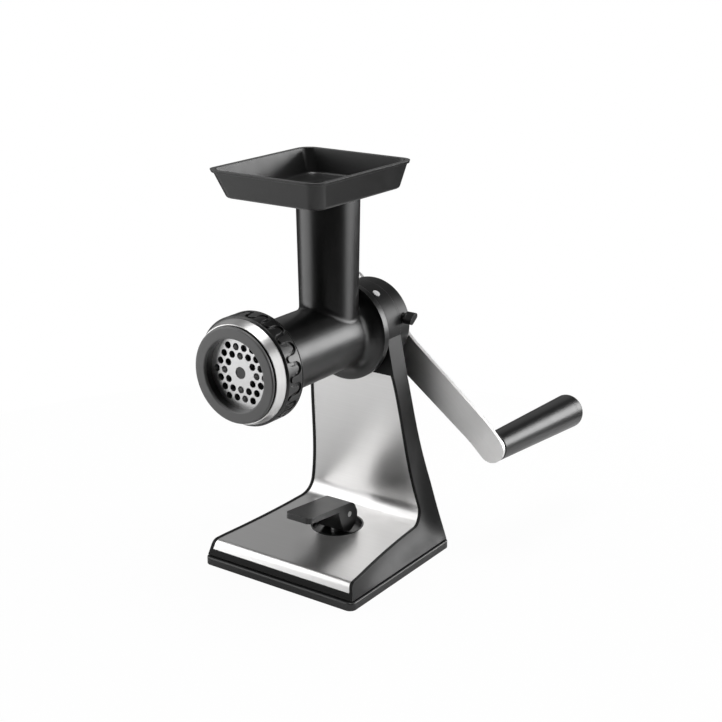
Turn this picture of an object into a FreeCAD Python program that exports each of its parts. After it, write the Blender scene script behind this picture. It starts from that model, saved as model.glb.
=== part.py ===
import FreeCAD, Part
import math
import os

from FreeCAD import Vector

# Hand crank grinder on a suction stand.
# Millimetres, +Z up. The outlet faces -Y, the crank is at +Y, and the grinding axis runs along Y.
# Sizes are laid out about the middle of the foot. Each finished piece is then moved along Y,
# so that the origin is on the table under the middle of the foot's front bar.

# Grinding axis and general clearances
AXIS_Z = 166.0
RUNNING_GAP = 0.06
SLIDING_GAP = 0.10
FREE_GAP = 0.40
SEAT_GAP = 0.10

# Foot rim, base plate and their screws
FOOT_HALF_WIDTH = 65.0
FOOT_FRONT_Y = -62.5
FOOT_REAR_Y = 63.0
FOOT_HEIGHT = 5.8
FOOT_WALL = 10.0
FOOT_CORNER = 5.0
FOOT_EDGE = 1.2
BASE_PLATE_THICKNESS = 2.8
BASE_PLATE_MARGIN = 7.6
BASE_SCREW_X = 47.0
BASE_SCREW_FRONT_Y = -45.0
BASE_SCREW_REAR_Y = 28.0
BASE_SCREW_RADIUS = 1.5
BASE_SCREW_LENGTH = 8.0
BASE_SCREW_HEAD_RADIUS = 3.0
BASE_SCREW_HEAD_HEIGHT = 1.6
POST_RADIUS = 4.0
POST_END = 1.5

# Side view of the stand
STAND_BOTTOM_Z = 6.5
NOSE_BOTTOM_Y = -60.0
NOSE_TOP_Y = -56.5
NOSE_TOP_Z = 17.8
NOSE_RADIUS = 5.0
WAIST_CORNER_Y = 47.9
WAIST_CORNER_Z = 22.1
WAIST_RADIUS = 11.0
HEAD_FRONT_Y = 29.5
COLUMN_TOP_FRONT_Z = 136.0
STAND_REAR_Y = 60.5
REAR_KNEE_Y = 56.5
REAR_KNEE_Z = 50.0
HEAD_REAR_Y = 46.0
REAR_TOP_Z = 132.0
WALL = 3.0

# Front view of the stand: a leaning side that is drawn in at the waist
SIDE_HALF_WIDTH = 63.9
SIDE_LEAN = 0.21
WAIST_INSET = 8.9
WAIST_Y = 42.0
WAIST_FRONT_REACH = 94.0
WAIST_REAR_REACH = 18.0
WAIST_Z = 30.0
WAIST_TOP_Z = 135.0
SIDE_BOTTOM_Z = 5.0
SURFACE_STEPS = 14

# Steel front sheet
SHEET_THICKNESS = 1.0
SHEET_SUNK = 0.25
SHEET_BOTTOM_Z = 11.0
LIP_WIDTH = 2.6

# Head of the stand
HEAD_RADIUS = 31.2
SOCKET_RADIUS = 24.0
CAP_REAR_Y = 59.5
CAP_EDGE_RADIUS = 3.5
CAP_WALL = 3.5
SOCKET_RING_RADIUS = 30.5
BADGE_RADIUS = 2.7
BADGE_THICKNESS = 0.6
BADGE_Y = 35.5
BADGE_TILT = 33.0
HEAD_FLOOR = 2.0
COLUMN_OVERLAP = 10.0
REAR_BUSH_START = 4.0

# Rear cover and its screws
COVER_THICKNESS = 2.5
COVER_BOTTOM_Z = 9.5
COVER_TOP_Z = 124.0
COVER_SCREW_LOW_Z = 30.0
COVER_SCREW_HIGH_Z = 110.0
COVER_SCREW_X = 24.0
COVER_SCREW_RADIUS = 1.5
COVER_SCREW_LENGTH = 7.0
COVER_SCREW_HEAD_RADIUS = 2.8
COVER_SCREW_HEAD_HEIGHT = 1.5
COVER_POST_DEPTH = 9.0
COVER_POST_GAP = 0.5

# Suction foot
SUCTION_Y = 11.0
SUCTION_RADIUS = 41.0
STEM_RADIUS = 5.0
STEM_FOOT_RADIUS = 9.0
STEM_FOOT_Z = 8.0
STEM_FOOT_HEIGHT = 1.6
STEM_FOOT_ROOM = 2.5
STEM_TRAVEL = 4.0
WELL_RADIUS = 19.4
WELL_WALL = 1.2
WELL_FLOOR_Z = 17.0
WELL_CUT_TOP_Z = 36.5
CUP_FOLD = 0.78
CUP_FLAT = 0.66
CUP_LIP = 0.96
CUP_SHOULDER = 0.92
CUP_MIDDLE_Z = 2.6
CUP_LIP_HEIGHT = 1.6
CUP_FOLD_Z = 3.6
CUP_NECK_Z = 4.8
PIN_Z = 31.0
PIN_RADIUS = 2.0
PIN_END = 0.3
LEVER_WIDTH = 22.0
LEVER_REACH = 49.0
LEVER_RISE = 6.0
LEVER_THICKNESS = 4.2
LEVER_TIP_CORNER = 4.0
LEVER_HUB_RADIUS = 8.5
LEVER_CHEEK_TOP = (160.0, 14.5)
LEVER_CHEEK_FOOT = (236.0, 13.2)
CAM_GAP = 0.5
CAM_STEPS = 10

# Hopper tray height, which the feed tube under it follows
TRAY_TOP_Z = 289.5
TRAY_DEPTH = 19.5
TRAY_BOTTOM_Z = TRAY_TOP_Z - TRAY_DEPTH
TRAY_SEAT_GAP = 0.4
TUBE_TOP_Z = TRAY_BOTTOM_Z - TRAY_SEAT_GAP

# Grinder body
BARREL_RADIUS = 25.1
CHAMBER_RADIUS = 22.3
MOUTH_RADIUS = 31.3
MOUTH_FRONT_Y = -93.4
MOUTH_REAR_Y = -81.0
MOUTH_CONE_Y = -75.5
CHAMBER_REAR_Y = 15.0
FLANGE_RADIUS = 35.5
FLANGE_FRONT_Y = 19.5
FLANGE_REAR_Y = 24.5
FLANGE_EDGE = 1.0
TAIL_RADIUS = 20.0
TAIL_REAR_Y = 44.0
TAIL_BORE = 15.0
TUBE_Y = 2.5
TUBE_RADIUS = 20.6
TUBE_TOP_RADIUS = 22.0
TUBE_BORE = 18.4
SADDLE_RADIUS = 5.0

# Hole disc, knife and screw
DISC_RADIUS = 27.0
DISC_THICKNESS = 4.0
DISC_FRONT_Y = -93.8
DISC_HOLE_RADIUS = 2.4
DISC_HOLE_PITCH = 6.6
DISC_KEY_RADIUS = 1.8
DISC_WEB = 0.8
DISC_ROWS = 4
KNIFE_THICKNESS = 3.6
KNIFE_REACH = 20.5
KNIFE_BLADE_WIDTH = 8.0
KNIFE_SQUARE = 8.0
SPINDLE_RADIUS = 4.0
AUGER_FRONT_Y = -85.4
AUGER_CORE_RADIUS = 9.0
AUGER_PITCH = 24.0
AUGER_FLIGHT_THICKNESS = 4.5
AUGER_REAR_PLATE = 4.0
AUGER_ROOT = 1.5
AUGER_EDGE_SHARE = 0.6
KNIFE_SEAT_START = 0.5
SPINDLE_SETBACK = 0.4
SOCKET_END_ROOM = 0.5

# Ring nut
NUT_FRONT_Y = -101.0
NUT_HOLE_RADIUS = 24.3
NUT_FACE_RADIUS = 32.3
NUT_FACE_THICKNESS = 1.8
NUT_FACE_EDGE = 1.0
NUT_GAP_RADIUS = 31.2
NUT_NECK_RADIUS = 32.6
NUT_LIP_REAR_Y = -93.9
BAND_FRONT_Y = -98.2
BAND_FRONT_RADIUS = 33.2
BAND_REAR_RADIUS = 35.4
GRIP_FRONT_Y = -91.2
NUT_REAR_Y = -74.4
NUT_RADIUS = 37.0
NUT_EDGE = 1.0
NUT_FRONT_RADIUS = 36.0
NUT_FRONT_BEVEL = 1.0
GROOVE_COUNT = 17
GROOVE_WIDTH = 2.4
GROOVE_DEPTH = 1.5
GROOVE_FRONT_Y = -88.8
GROOVE_REAR_Y = -78.4
NUT_RIB_Y = -76.4
NUT_RIB_WIDTH = 0.7
NUT_RIB_DEPTH = 0.6

# Hopper tray
TRAY_TOP_HALF_WIDTH = 45.0
TRAY_TOP_FRONT_Y = -69.5
TRAY_TOP_REAR_Y = 38.5
TRAY_TOP_CORNER = 9.0
TRAY_SIDE_TAPER = 5.5
TRAY_FRONT_TAPER = 8.0
TRAY_REAR_TAPER = 2.5
TRAY_WALL = 2.0
TRAY_BOTTOM_EDGE = 3.0
TRAY_RIM_OUT = 1.2
TRAY_RIM_HEIGHT = 1.8
SPIGOT_DEPTH = 14.0
SPIGOT_WALL = 1.8
TRAY_FLOOR_EDGE = 2.0

# Crank
SHAFT_RADIUS = 6.0
SHAFT_HEX = 9.0
SHAFT_HEX_LENGTH = 12.0
BUSH_FRONT_Y = 28.0
BUSH_REAR_Y = 40.0
CAP_BUSH_RADIUS = 10.0
CAP_BUSH_FLANGE = 12.5
CRANK_ANGLE = 42.0
CRANK_RADIUS = 126.0
ARM_THICKNESS = 3.0
ARM_HUB_Y = 61.0
ARM_HUB_HALF_WIDTH = 13.0
ARM_END_HALF_WIDTH = 10.5
ARM_TAIL = 42.0
ARM_BEND_IN = 32.0
ARM_BEND_OUT = 112.0
ARM_RISE = 8.5
ARM_BEND_RADIUS = 60.0
ARM_TAIL_INSET = 1.0
ARM_END_ROOM = 4.0
ARM_SQUARE = 8.0
GRIP_LEAN = 3.0
HUB_RADIUS = 18.0
HUB_DEPTH = 12.0
HUB_EDGE = 5.0
HUB_SCREW_RADIUS = 3.0
HUB_SCREW_LENGTH = 14.0
HUB_SCREW_HEAD_RADIUS = 6.5
HUB_SCREW_HEAD_HEIGHT = 3.0
WASHER_RADIUS = 12.0

# Handle grip
GRIP_LENGTH = 112.0
GRIP_SMALL_RADIUS = 10.4
GRIP_LARGE_RADIUS = 13.0
GRIP_CAP_LENGTH = 9.0
GRIP_END_EDGE = 3.5
GRIP_START_EDGE = 0.8
GRIP_STANDOFF = 1.2
GRIP_WASHER_INSET = 1.5
AXLE_RADIUS = 4.0
AXLE_HEAD_RADIUS = 6.5
AXLE_HEAD_HEIGHT = 3.0
AXLE_END_ROOM = 9.0
AXLE_LENGTH = GRIP_LENGTH - GRIP_CAP_LENGTH - AXLE_END_ROOM
AXLE_SEAT_DEPTH = 2.0

# Quarter-turn lock on the head
LOCK_Y = 51.0
LOCK_Z = 173.5
LOCK_AXLE_RADIUS = 3.0
LOCK_WING_GAP = 0.6
LOCK_WING_X = HEAD_RADIUS + LOCK_WING_GAP
LOCK_WING_DEPTH = 7.0
LOCK_WING_LENGTH = 10.0
LOCK_WING_THICKNESS = 4.6
LOCK_CAM_RADIUS = 4.2
LOCK_CAM_THICKNESS = 2.5
LOCK_CAM_ROOM = 2.0
LOCK_BOSS_WALL = 1.5
LOCK_TILT = 35.0
LOCK_EDGE_GAP = 0.1

# X of the lock's cam: inside the cap's round wall at the lock's height
CAP_INNER_RADIUS = HEAD_RADIUS - CAP_EDGE_RADIUS
LOCK_CAM_TOP = LOCK_Z - AXIS_Z + LOCK_CAM_RADIUS
LOCK_CAM_REACH = math.sqrt(CAP_INNER_RADIUS ** 2 - LOCK_CAM_TOP ** 2)
LOCK_CAM_X = LOCK_CAM_REACH - LOCK_CAM_THICKNESS - LOCK_CAM_ROOM

# Place of the origin in the layout above, a length beyond every piece, and the overlap of a clean cut
ORIGIN_Y = FOOT_FRONT_Y + FOOT_WALL / 2.0
FAR = 400.0
OVERCUT = 1.0
TINY = 0.01


def cylinder_x(radius, x_start, x_end, y, z):
    """Cylinder along X."""
    return Part.makeCylinder(radius, x_end - x_start, Vector(x_start, y, z), Vector(1, 0, 0))


def cylinder_y(radius, y_start, y_end, x=0.0, z=AXIS_Z):
    """Cylinder along Y, on the grinding axis unless told otherwise."""
    return Part.makeCylinder(radius, y_end - y_start, Vector(x, y_start, z), Vector(0, 1, 0))


def cylinder_z(radius, z_start, z_end, x=0.0, y=0.0):
    """Upright cylinder."""
    return Part.makeCylinder(radius, z_end - z_start, Vector(x, y, z_start), Vector(0, 0, 1))


def block(x_start, x_end, y_start, y_end, z_start, z_end):
    """Box between two corners."""
    corner = Vector(x_start, y_start, z_start)
    return Part.makeBox(x_end - x_start, y_end - y_start, z_end - z_start, corner)


def turned_y(profile):
    """Solid turned about the grinding axis from (radius, y) points."""
    points = [Vector(radius, y, AXIS_Z) for radius, y in profile]
    face = Part.Face(Part.makePolygon(points + points[:1]))
    return face.revolve(Vector(0, 0, AXIS_Z), Vector(0, 1, 0), 360)


def turned_z(profile, y):
    """Solid turned about an upright axis at x = 0 from (radius, z) points."""
    points = [Vector(radius, y, z) for radius, z in profile]
    face = Part.Face(Part.makePolygon(points + points[:1]))
    return face.revolve(Vector(0, y, 0), Vector(0, 0, 1), 360)


def prism_y(points, y_start, y_end):
    """Prism along Y from (x, z) points."""
    corners = [Vector(x, y_start, z) for x, z in points]
    face = Part.Face(Part.makePolygon(corners + corners[:1]))
    return face.extrude(Vector(0, y_end - y_start, 0))


def hexagon(across_flats):
    """Corners of a hexagon about the grinding axis."""
    radius = across_flats / math.sqrt(3.0)
    angles = [math.radians(60.0 * step) for step in range(6)]
    return [(radius * math.cos(a), AXIS_Z + radius * math.sin(a)) for a in angles]


def square(side):
    """Corners of a square about the grinding axis."""
    half = side / 2.0
    return [(-half, AXIS_Z - half), (half, AXIS_Z - half), (half, AXIS_Z + half), (-half, AXIS_Z + half)]


def rounded_rectangle(x_half, y_front, y_rear, radius, z):
    """Closed wire of a rectangle with round corners at one height."""
    turn = radius * (1.0 - math.sqrt(0.5))
    corners = [
        (x_half, y_front, -1, 1), (x_half, y_rear, -1, -1),
        (-x_half, y_rear, 1, -1), (-x_half, y_front, 1, 1),
    ]
    edges = []
    starts = []
    ends = []
    for index, (x, y, x_in, y_in) in enumerate(corners):
        along_x = Vector(x + x_in * radius, y, z)
        along_y = Vector(x, y + y_in * radius, z)
        middle = Vector(x + x_in * turn, y + y_in * turn, z)
        first, last = (along_x, along_y) if index % 2 == 0 else (along_y, along_x)
        edges.append(Part.Arc(first, middle, last).toShape())
        starts.append(first)
        ends.append(last)
    lines = [Part.makeLine(ends[index], starts[(index + 1) % 4]) for index in range(4)]
    return Part.Wire(Part.__sortEdges__(edges + lines))


def plate(x_half, y_front, y_rear, radius, z_start, z_end):
    """Flat plate with round corners."""
    wire = rounded_rectangle(x_half, y_front, y_rear, radius, z_start)
    return Part.Face(wire).extrude(Vector(0, 0, z_end - z_start))


def front_corners(inset):
    """Corners and radii of the stand's front line, moved inward by inset."""
    corners = [
        (NOSE_BOTTOM_Y, STAND_BOTTOM_Z, 0.0),
        (NOSE_TOP_Y, NOSE_TOP_Z, NOSE_RADIUS),
        (WAIST_CORNER_Y, WAIST_CORNER_Z, WAIST_RADIUS),
        (HEAD_FRONT_Y, COLUMN_TOP_FRONT_Z, 0.0),
    ]
    directions = []
    for first, second in zip(corners[:-1], corners[1:]):
        length = math.hypot(second[0] - first[0], second[1] - first[1])
        directions.append(((second[0] - first[0]) / length, (second[1] - first[1]) / length))
    moved = []
    for index, (y, z, radius) in enumerate(corners):
        before = directions[max(index - 1, 0)]
        after = directions[min(index, len(directions) - 1)]
        normal_y = before[1] + after[1]
        normal_z = -before[0] - after[0]
        scale = inset / (1.0 + before[0] * after[0] + before[1] * after[1])
        turn = before[0] * after[1] - before[1] * after[0]
        new_radius = radius + inset if turn > 0 else radius - inset
        moved.append((y + normal_y * scale, z + normal_z * scale, new_radius if radius else 0.0))
    return moved


def rounded_path(corners):
    """Edges of a path in the YZ plane with its inner corners rounded."""
    edges = []
    last = Vector(0, corners[0][0], corners[0][1])
    for before, corner, after in zip(corners[:-2], corners[1:-1], corners[2:]):
        point = Vector(0, corner[0], corner[1])
        back = (Vector(0, before[0], before[1]) - point).normalize()
        forth = (Vector(0, after[0], after[1]) - point).normalize()
        half = back.getAngle(forth) / 2.0
        reach = corner[2] / math.tan(half)
        bisector = (back + forth).normalize()
        centre = point + bisector * (corner[2] / math.sin(half))
        middle = centre - bisector * corner[2]
        start = point + back * reach
        end = point + forth * reach
        edges.append(Part.makeLine(last, start))
        edges.append(Part.Arc(start, middle, end).toShape())
        last = end
    edges.append(Part.makeLine(last, Vector(0, corners[-1][0], corners[-1][1])))
    return edges


def half_width(y, z):
    """Half width of the stand: a leaning side less a smooth hollow at the waist."""
    height = z - SIDE_BOTTOM_Z
    reach = WAIST_FRONT_REACH if y < WAIST_Y else WAIST_REAR_REACH
    along = max(0.0, 1.0 - ((y - WAIST_Y) / reach) ** 2)
    if z < WAIST_Z:
        over = math.sin(math.pi / 2.0 * max(0.0, height) / (WAIST_Z - SIDE_BOTTOM_Z))
    else:
        over = max(0.0, math.cos(math.pi / 2.0 * min(1.0, (z - WAIST_Z) / (WAIST_TOP_Z - WAIST_Z)))) ** 1.5
    return SIDE_HALF_WIDTH - SIDE_LEAN * height - WAIST_INSET * along * over


def side_cutters(inset):
    """Two solids that trim a block to the stand's sides, moved inward by inset."""
    y_low, y_high, z_low, z_high = -80.0, 80.0, -2.0, 180.0
    rows = []
    for row in range(SURFACE_STEPS + 1):
        y = y_low + (y_high - y_low) * row / SURFACE_STEPS
        heights = [z_low + (z_high - z_low) * column / SURFACE_STEPS for column in range(SURFACE_STEPS + 1)]
        rows.append([Vector(half_width(y, z) - inset, y, z) for z in heights])
    surface = Part.BSplineSurface()
    surface.interpolate(rows)
    right = surface.toShape().extrude(Vector(FAR, 0, 0))
    left = right.mirror(Vector(0, 0, 0), Vector(1, 0, 0))
    return [right, left]


def side_profile(inset, rear_y_shift, bottom_z):
    """Closed YZ face of the stand with its front line moved inward by inset."""
    corners = front_corners(inset)
    start_y, start_z, _ = corners[0]
    corners[0] = (start_y, min(start_z, bottom_z), 0.0)
    edges = rounded_path(corners)
    points = [
        Vector(0, corners[-1][0], corners[-1][1]),
        Vector(0, HEAD_REAR_Y + rear_y_shift, corners[-1][1]),
        Vector(0, HEAD_REAR_Y + rear_y_shift, REAR_TOP_Z),
        Vector(0, REAR_KNEE_Y + rear_y_shift, REAR_KNEE_Z),
        Vector(0, STAND_REAR_Y + rear_y_shift, bottom_z),
        Vector(0, corners[0][0], corners[0][1]),
    ]
    edges += [Part.makeLine(a, b) for a, b in zip(points[:-1], points[1:])]
    return Part.Face(Part.Wire(edges))


def stand_block(inset, side_inset, rear_y_shift, bottom_z):
    """Solid inside the stand's outline, moved inward by the given amounts."""
    face = side_profile(inset, rear_y_shift, bottom_z)
    face.translate(Vector(-FAR / 2.0, 0, 0))
    return face.extrude(Vector(FAR, 0, 0)).cut(side_cutters(side_inset))


def sheet_strip(outer, inner, side_inset):
    """Strip along the stand's front line between two depths under its surface."""
    outer_corners = front_corners(outer)
    inner_corners = front_corners(inner)
    outer_edges = rounded_path(outer_corners)
    inner_edges = rounded_path(inner_corners)
    ends = []
    for index in (0, -1):
        first = Vector(0, outer_corners[index][0], outer_corners[index][1])
        second = Vector(0, inner_corners[index][0], inner_corners[index][1])
        ends.append(Part.makeLine(first, second))
    wire = Part.Wire(Part.__sortEdges__(outer_edges + inner_edges + ends))
    face = Part.Face(wire)
    face.translate(Vector(-FAR / 2.0, 0, 0))
    strip = face.extrude(Vector(FAR, 0, 0)).cut(side_cutters(side_inset))
    below = block(-FAR, FAR, -FAR, FAR, -FAR, SHEET_BOTTOM_Z)
    return strip.cut(below)


def make_foot_rim():
    outer = plate(FOOT_HALF_WIDTH, FOOT_FRONT_Y, FOOT_REAR_Y, FOOT_CORNER, 0.0, FOOT_HEIGHT)
    inner = plate(
        FOOT_HALF_WIDTH - FOOT_WALL, FOOT_FRONT_Y + FOOT_WALL, FOOT_REAR_Y - FOOT_WALL,
        FOOT_CORNER, -OVERCUT, FOOT_HEIGHT + OVERCUT,
    )
    top_edges = [edge for edge in outer.Edges if edge.BoundBox.ZMin > FOOT_HEIGHT - TINY]
    return outer.makeFillet(FOOT_EDGE, top_edges).cut(inner)


def base_screw_places():
    return [(x, y) for x in (-BASE_SCREW_X, BASE_SCREW_X) for y in (BASE_SCREW_FRONT_Y, BASE_SCREW_REAR_Y)]


def make_base_plate():
    margin = BASE_PLATE_MARGIN
    bottom = FOOT_HEIGHT - OVERCUT
    top = FOOT_HEIGHT + BASE_PLATE_THICKNESS
    shape = plate(
        FOOT_HALF_WIDTH - margin, FOOT_FRONT_Y + margin, FOOT_REAR_Y - margin, FOOT_CORNER, FOOT_HEIGHT, top,
    )
    shape = shape.cut(cylinder_z(STEM_FOOT_RADIUS + STEM_FOOT_ROOM, bottom, top + OVERCUT, y=SUCTION_Y))
    for x, y in base_screw_places():
        shape = shape.cut(cylinder_z(BASE_SCREW_RADIUS, bottom, top + OVERCUT, x, y))
        head_top = FOOT_HEIGHT + BASE_SCREW_HEAD_HEIGHT
        shape = shape.cut(cylinder_z(BASE_SCREW_HEAD_RADIUS, bottom, head_top, x, y))
    return shape


def make_base_screws():
    screws = []
    for x, y in base_screw_places():
        head_top = FOOT_HEIGHT + BASE_SCREW_HEAD_HEIGHT
        head = cylinder_z(BASE_SCREW_HEAD_RADIUS, FOOT_HEIGHT, head_top, x, y)
        shank = cylinder_z(BASE_SCREW_RADIUS, head_top, head_top + BASE_SCREW_LENGTH, x, y)
        screws.append(head.fuse(shank).removeSplitter())
    return Part.makeCompound(screws)


def cover_screw_places():
    return [(x, z) for x in (-COVER_SCREW_X, COVER_SCREW_X) for z in (COVER_SCREW_LOW_Z, COVER_SCREW_HIGH_Z)]


def rear_y(z):
    """Y of the stand's rear line at a height."""
    if z < REAR_KNEE_Z:
        share = (z - STAND_BOTTOM_Z) / (REAR_KNEE_Z - STAND_BOTTOM_Z)
        return STAND_REAR_Y + share * (REAR_KNEE_Y - STAND_REAR_Y)
    share = (z - REAR_KNEE_Z) / (REAR_TOP_Z - REAR_KNEE_Z)
    return REAR_KNEE_Y + share * (HEAD_REAR_Y - REAR_KNEE_Y)


def make_stand_housing():
    outer = stand_block(0.0, 0.0, 0.0, STAND_BOTTOM_Z)
    reach = HEAD_RADIUS + COLUMN_OVERLAP
    column_top = block(-reach, reach, HEAD_FRONT_Y, HEAD_REAR_Y, COLUMN_TOP_FRONT_Z - OVERCUT, AXIS_Z)
    column_top = column_top.cut(side_cutters(0.0))
    outer = outer.fuse([column_top, cylinder_y(HEAD_RADIUS, HEAD_FRONT_Y, HEAD_REAR_Y)]).removeSplitter()

    hollow = stand_block(WALL + SHEET_THICKNESS, WALL, 2.0 * WALL, STAND_BOTTOM_Z - OVERCUT)
    hollow_top = AXIS_Z - HEAD_RADIUS - HEAD_FLOOR
    hollow = hollow.common(block(-FAR, FAR, -FAR, FAR, -FAR, hollow_top))
    posts = []
    for x, y in base_screw_places():
        posts.append(cylinder_z(POST_RADIUS, FOOT_HEIGHT + BASE_PLATE_THICKNESS, NOSE_TOP_Z, x, y))
    bridges = []
    for x, z in cover_screw_places():
        face_y = rear_y(z) - COVER_THICKNESS
        start = face_y - COVER_POST_DEPTH
        bridges.append(block(-FAR, FAR, start, face_y - COVER_POST_GAP, z - POST_RADIUS, z + POST_RADIUS))
    hollow = hollow.cut(posts + bridges)
    shape = outer.cut(hollow)

    pocket = sheet_strip(-OVERCUT, SHEET_SUNK + SHEET_THICKNESS, LIP_WIDTH)
    shape = shape.cut(pocket)
    shape = shape.cut(cylinder_y(SOCKET_RADIUS, HEAD_FRONT_Y - OVERCUT, HEAD_REAR_Y + OVERCUT))
    shape = shape.cut(cylinder_z(WELL_RADIUS, STAND_BOTTOM_Z, WELL_CUT_TOP_Z, y=SUCTION_Y))
    for x, y in base_screw_places():
        shape = shape.cut(cylinder_z(BASE_SCREW_RADIUS, STAND_BOTTOM_Z, NOSE_TOP_Z - POST_END, x, y))
    for x, z in cover_screw_places():
        face_y = rear_y(z) - COVER_THICKNESS
        shape = shape.cut(cylinder_y(COVER_SCREW_RADIUS, face_y - COVER_SCREW_LENGTH, face_y + OVERCUT, x, z))
    return shape


def make_front_sheet():
    shape = sheet_strip(SHEET_SUNK, SHEET_SUNK + SHEET_THICKNESS, LIP_WIDTH)
    return shape.cut(cylinder_z(WELL_RADIUS, STAND_BOTTOM_Z, WELL_CUT_TOP_Z, y=SUCTION_Y))


def make_rear_cover():
    inside = stand_block(WALL + SHEET_THICKNESS, WALL, 0.0, STAND_BOTTOM_Z)
    deeper = stand_block(-FAR / 8.0, -FAR / 8.0, -COVER_THICKNESS, STAND_BOTTOM_Z - OVERCUT)
    shape = inside.cut(deeper)
    shape = shape.common(block(-FAR, FAR, HEAD_FRONT_Y, FAR, COVER_BOTTOM_Z, COVER_TOP_Z))
    for x, z in cover_screw_places():
        face_y = rear_y(z)
        shape = shape.cut(cylinder_y(COVER_SCREW_RADIUS, face_y - FAR / 8.0, face_y + OVERCUT, x, z))
    return shape


def make_cover_screws():
    screws = []
    for x, z in cover_screw_places():
        face_y = rear_y(z)
        seat = face_y + math.fabs(rear_y(z + COVER_SCREW_HEAD_RADIUS) - rear_y(z - COVER_SCREW_HEAD_RADIUS))
        head = cylinder_y(COVER_SCREW_HEAD_RADIUS, seat, seat + COVER_SCREW_HEAD_HEIGHT, x, z)
        shank = cylinder_y(COVER_SCREW_RADIUS, face_y - COVER_SCREW_LENGTH, seat, x, z)
        screws.append(head.fuse(shank).removeSplitter())
    return Part.makeCompound(screws)


def make_lever_well():
    outer = cylinder_z(WELL_RADIUS, WELL_FLOOR_Z - WELL_WALL, WELL_CUT_TOP_Z, y=SUCTION_Y)
    inner = cylinder_z(WELL_RADIUS - WELL_WALL, WELL_FLOOR_Z, WELL_CUT_TOP_Z, y=SUCTION_Y)
    shape = outer.cut(inner).common(stand_block(SHEET_SUNK, 0.0, 0.0, STAND_BOTTOM_Z))
    return shape.cut(cylinder_z(STEM_RADIUS + FREE_GAP, 0.0, WELL_FLOOR_Z + OVERCUT, y=SUCTION_Y))


def make_suction_cup():
    lip = SUCTION_RADIUS
    profile = [
        (0.0, CUP_MIDDLE_Z), (CUP_FLAT * lip, CUP_LIP_HEIGHT), (CUP_LIP * lip, 0.0), (lip, 0.0),
        (lip, CUP_LIP_HEIGHT), (CUP_SHOULDER * lip, FOOT_HEIGHT), (CUP_FOLD * lip, FOOT_HEIGHT),
        (CUP_FOLD * lip, CUP_FOLD_Z), (STEM_FOOT_RADIUS, CUP_NECK_Z), (STEM_FOOT_RADIUS, STEM_FOOT_Z),
        (0.0, STEM_FOOT_Z),
    ]
    return turned_z(profile, SUCTION_Y)


def make_suction_stem():
    foot = cylinder_z(STEM_FOOT_RADIUS, STEM_FOOT_Z, STEM_FOOT_Z + STEM_FOOT_HEIGHT, y=SUCTION_Y)
    rod = cylinder_z(STEM_RADIUS, STEM_FOOT_Z, PIN_Z, y=SUCTION_Y)
    eye = cylinder_x(STEM_RADIUS, -STEM_RADIUS, STEM_RADIUS, SUCTION_Y, PIN_Z)
    shape = foot.fuse([rod, eye]).removeSplitter()
    return shape.cut(cylinder_x(PIN_RADIUS, -FAR, FAR, SUCTION_Y, PIN_Z))


def make_lever_pin():
    reach = LEVER_WIDTH / 2.0 + PIN_END
    return cylinder_x(PIN_RADIUS, -reach, reach, SUCTION_Y, PIN_Z)


def make_suction_lever():
    half = LEVER_WIDTH / 2.0
    floor_reach = PIN_Z - WELL_FLOOR_Z - CAM_GAP
    outline = []
    for step in range(CAM_STEPS + 1):
        share = step / CAM_STEPS
        outline.append((-90.0 + 90.0 * share, floor_reach - STEM_TRAVEL * share))
    for step in range(1, CAM_STEPS + 1):
        outline.append((90.0 * step / CAM_STEPS + LEVER_RISE, LEVER_HUB_RADIUS))
    outline += [LEVER_CHEEK_TOP, LEVER_CHEEK_FOOT]
    points = []
    for angle, radius in outline:
        y = SUCTION_Y + radius * math.cos(math.radians(angle))
        z = PIN_Z + radius * math.sin(math.radians(angle))
        points.append(Vector(-half, y, z))
    cheeks = Part.Face(Part.makePolygon(points + points[:1])).extrude(Vector(LEVER_WIDTH, 0, 0))

    tip = SUCTION_Y - LEVER_REACH
    top = PIN_Z + LEVER_HUB_RADIUS
    paddle = block(-half, half, tip, SUCTION_Y, top - LEVER_THICKNESS, top)
    tip_edges = []
    for edge in paddle.Edges:
        if edge.BoundBox.YMax < tip + TINY and edge.BoundBox.ZLength > LEVER_THICKNESS - TINY:
            tip_edges.append(edge)
    paddle = paddle.makeFillet(LEVER_TIP_CORNER, tip_edges)
    paddle.rotate(Vector(0, SUCTION_Y, PIN_Z), Vector(1, 0, 0), -LEVER_RISE)
    shape = cheeks.fuse(paddle).removeSplitter()
    slot = STEM_RADIUS + FREE_GAP
    shape = shape.cut(block(-slot, slot, SUCTION_Y - slot, SUCTION_Y + FAR, PIN_Z - FAR, PIN_Z + slot))
    return shape.cut(cylinder_x(PIN_RADIUS + RUNNING_GAP, -FAR, FAR, SUCTION_Y, PIN_Z))


def make_socket_ring():
    outer = cylinder_y(SOCKET_RING_RADIUS, FLANGE_REAR_Y, HEAD_FRONT_Y)
    sleeve = cylinder_y(SOCKET_RADIUS, HEAD_FRONT_Y, HEAD_REAR_Y)
    bore = cylinder_y(TAIL_RADIUS, FLANGE_REAR_Y - OVERCUT, HEAD_REAR_Y + OVERCUT)
    return outer.fuse(sleeve).removeSplitter().cut(bore)


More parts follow.
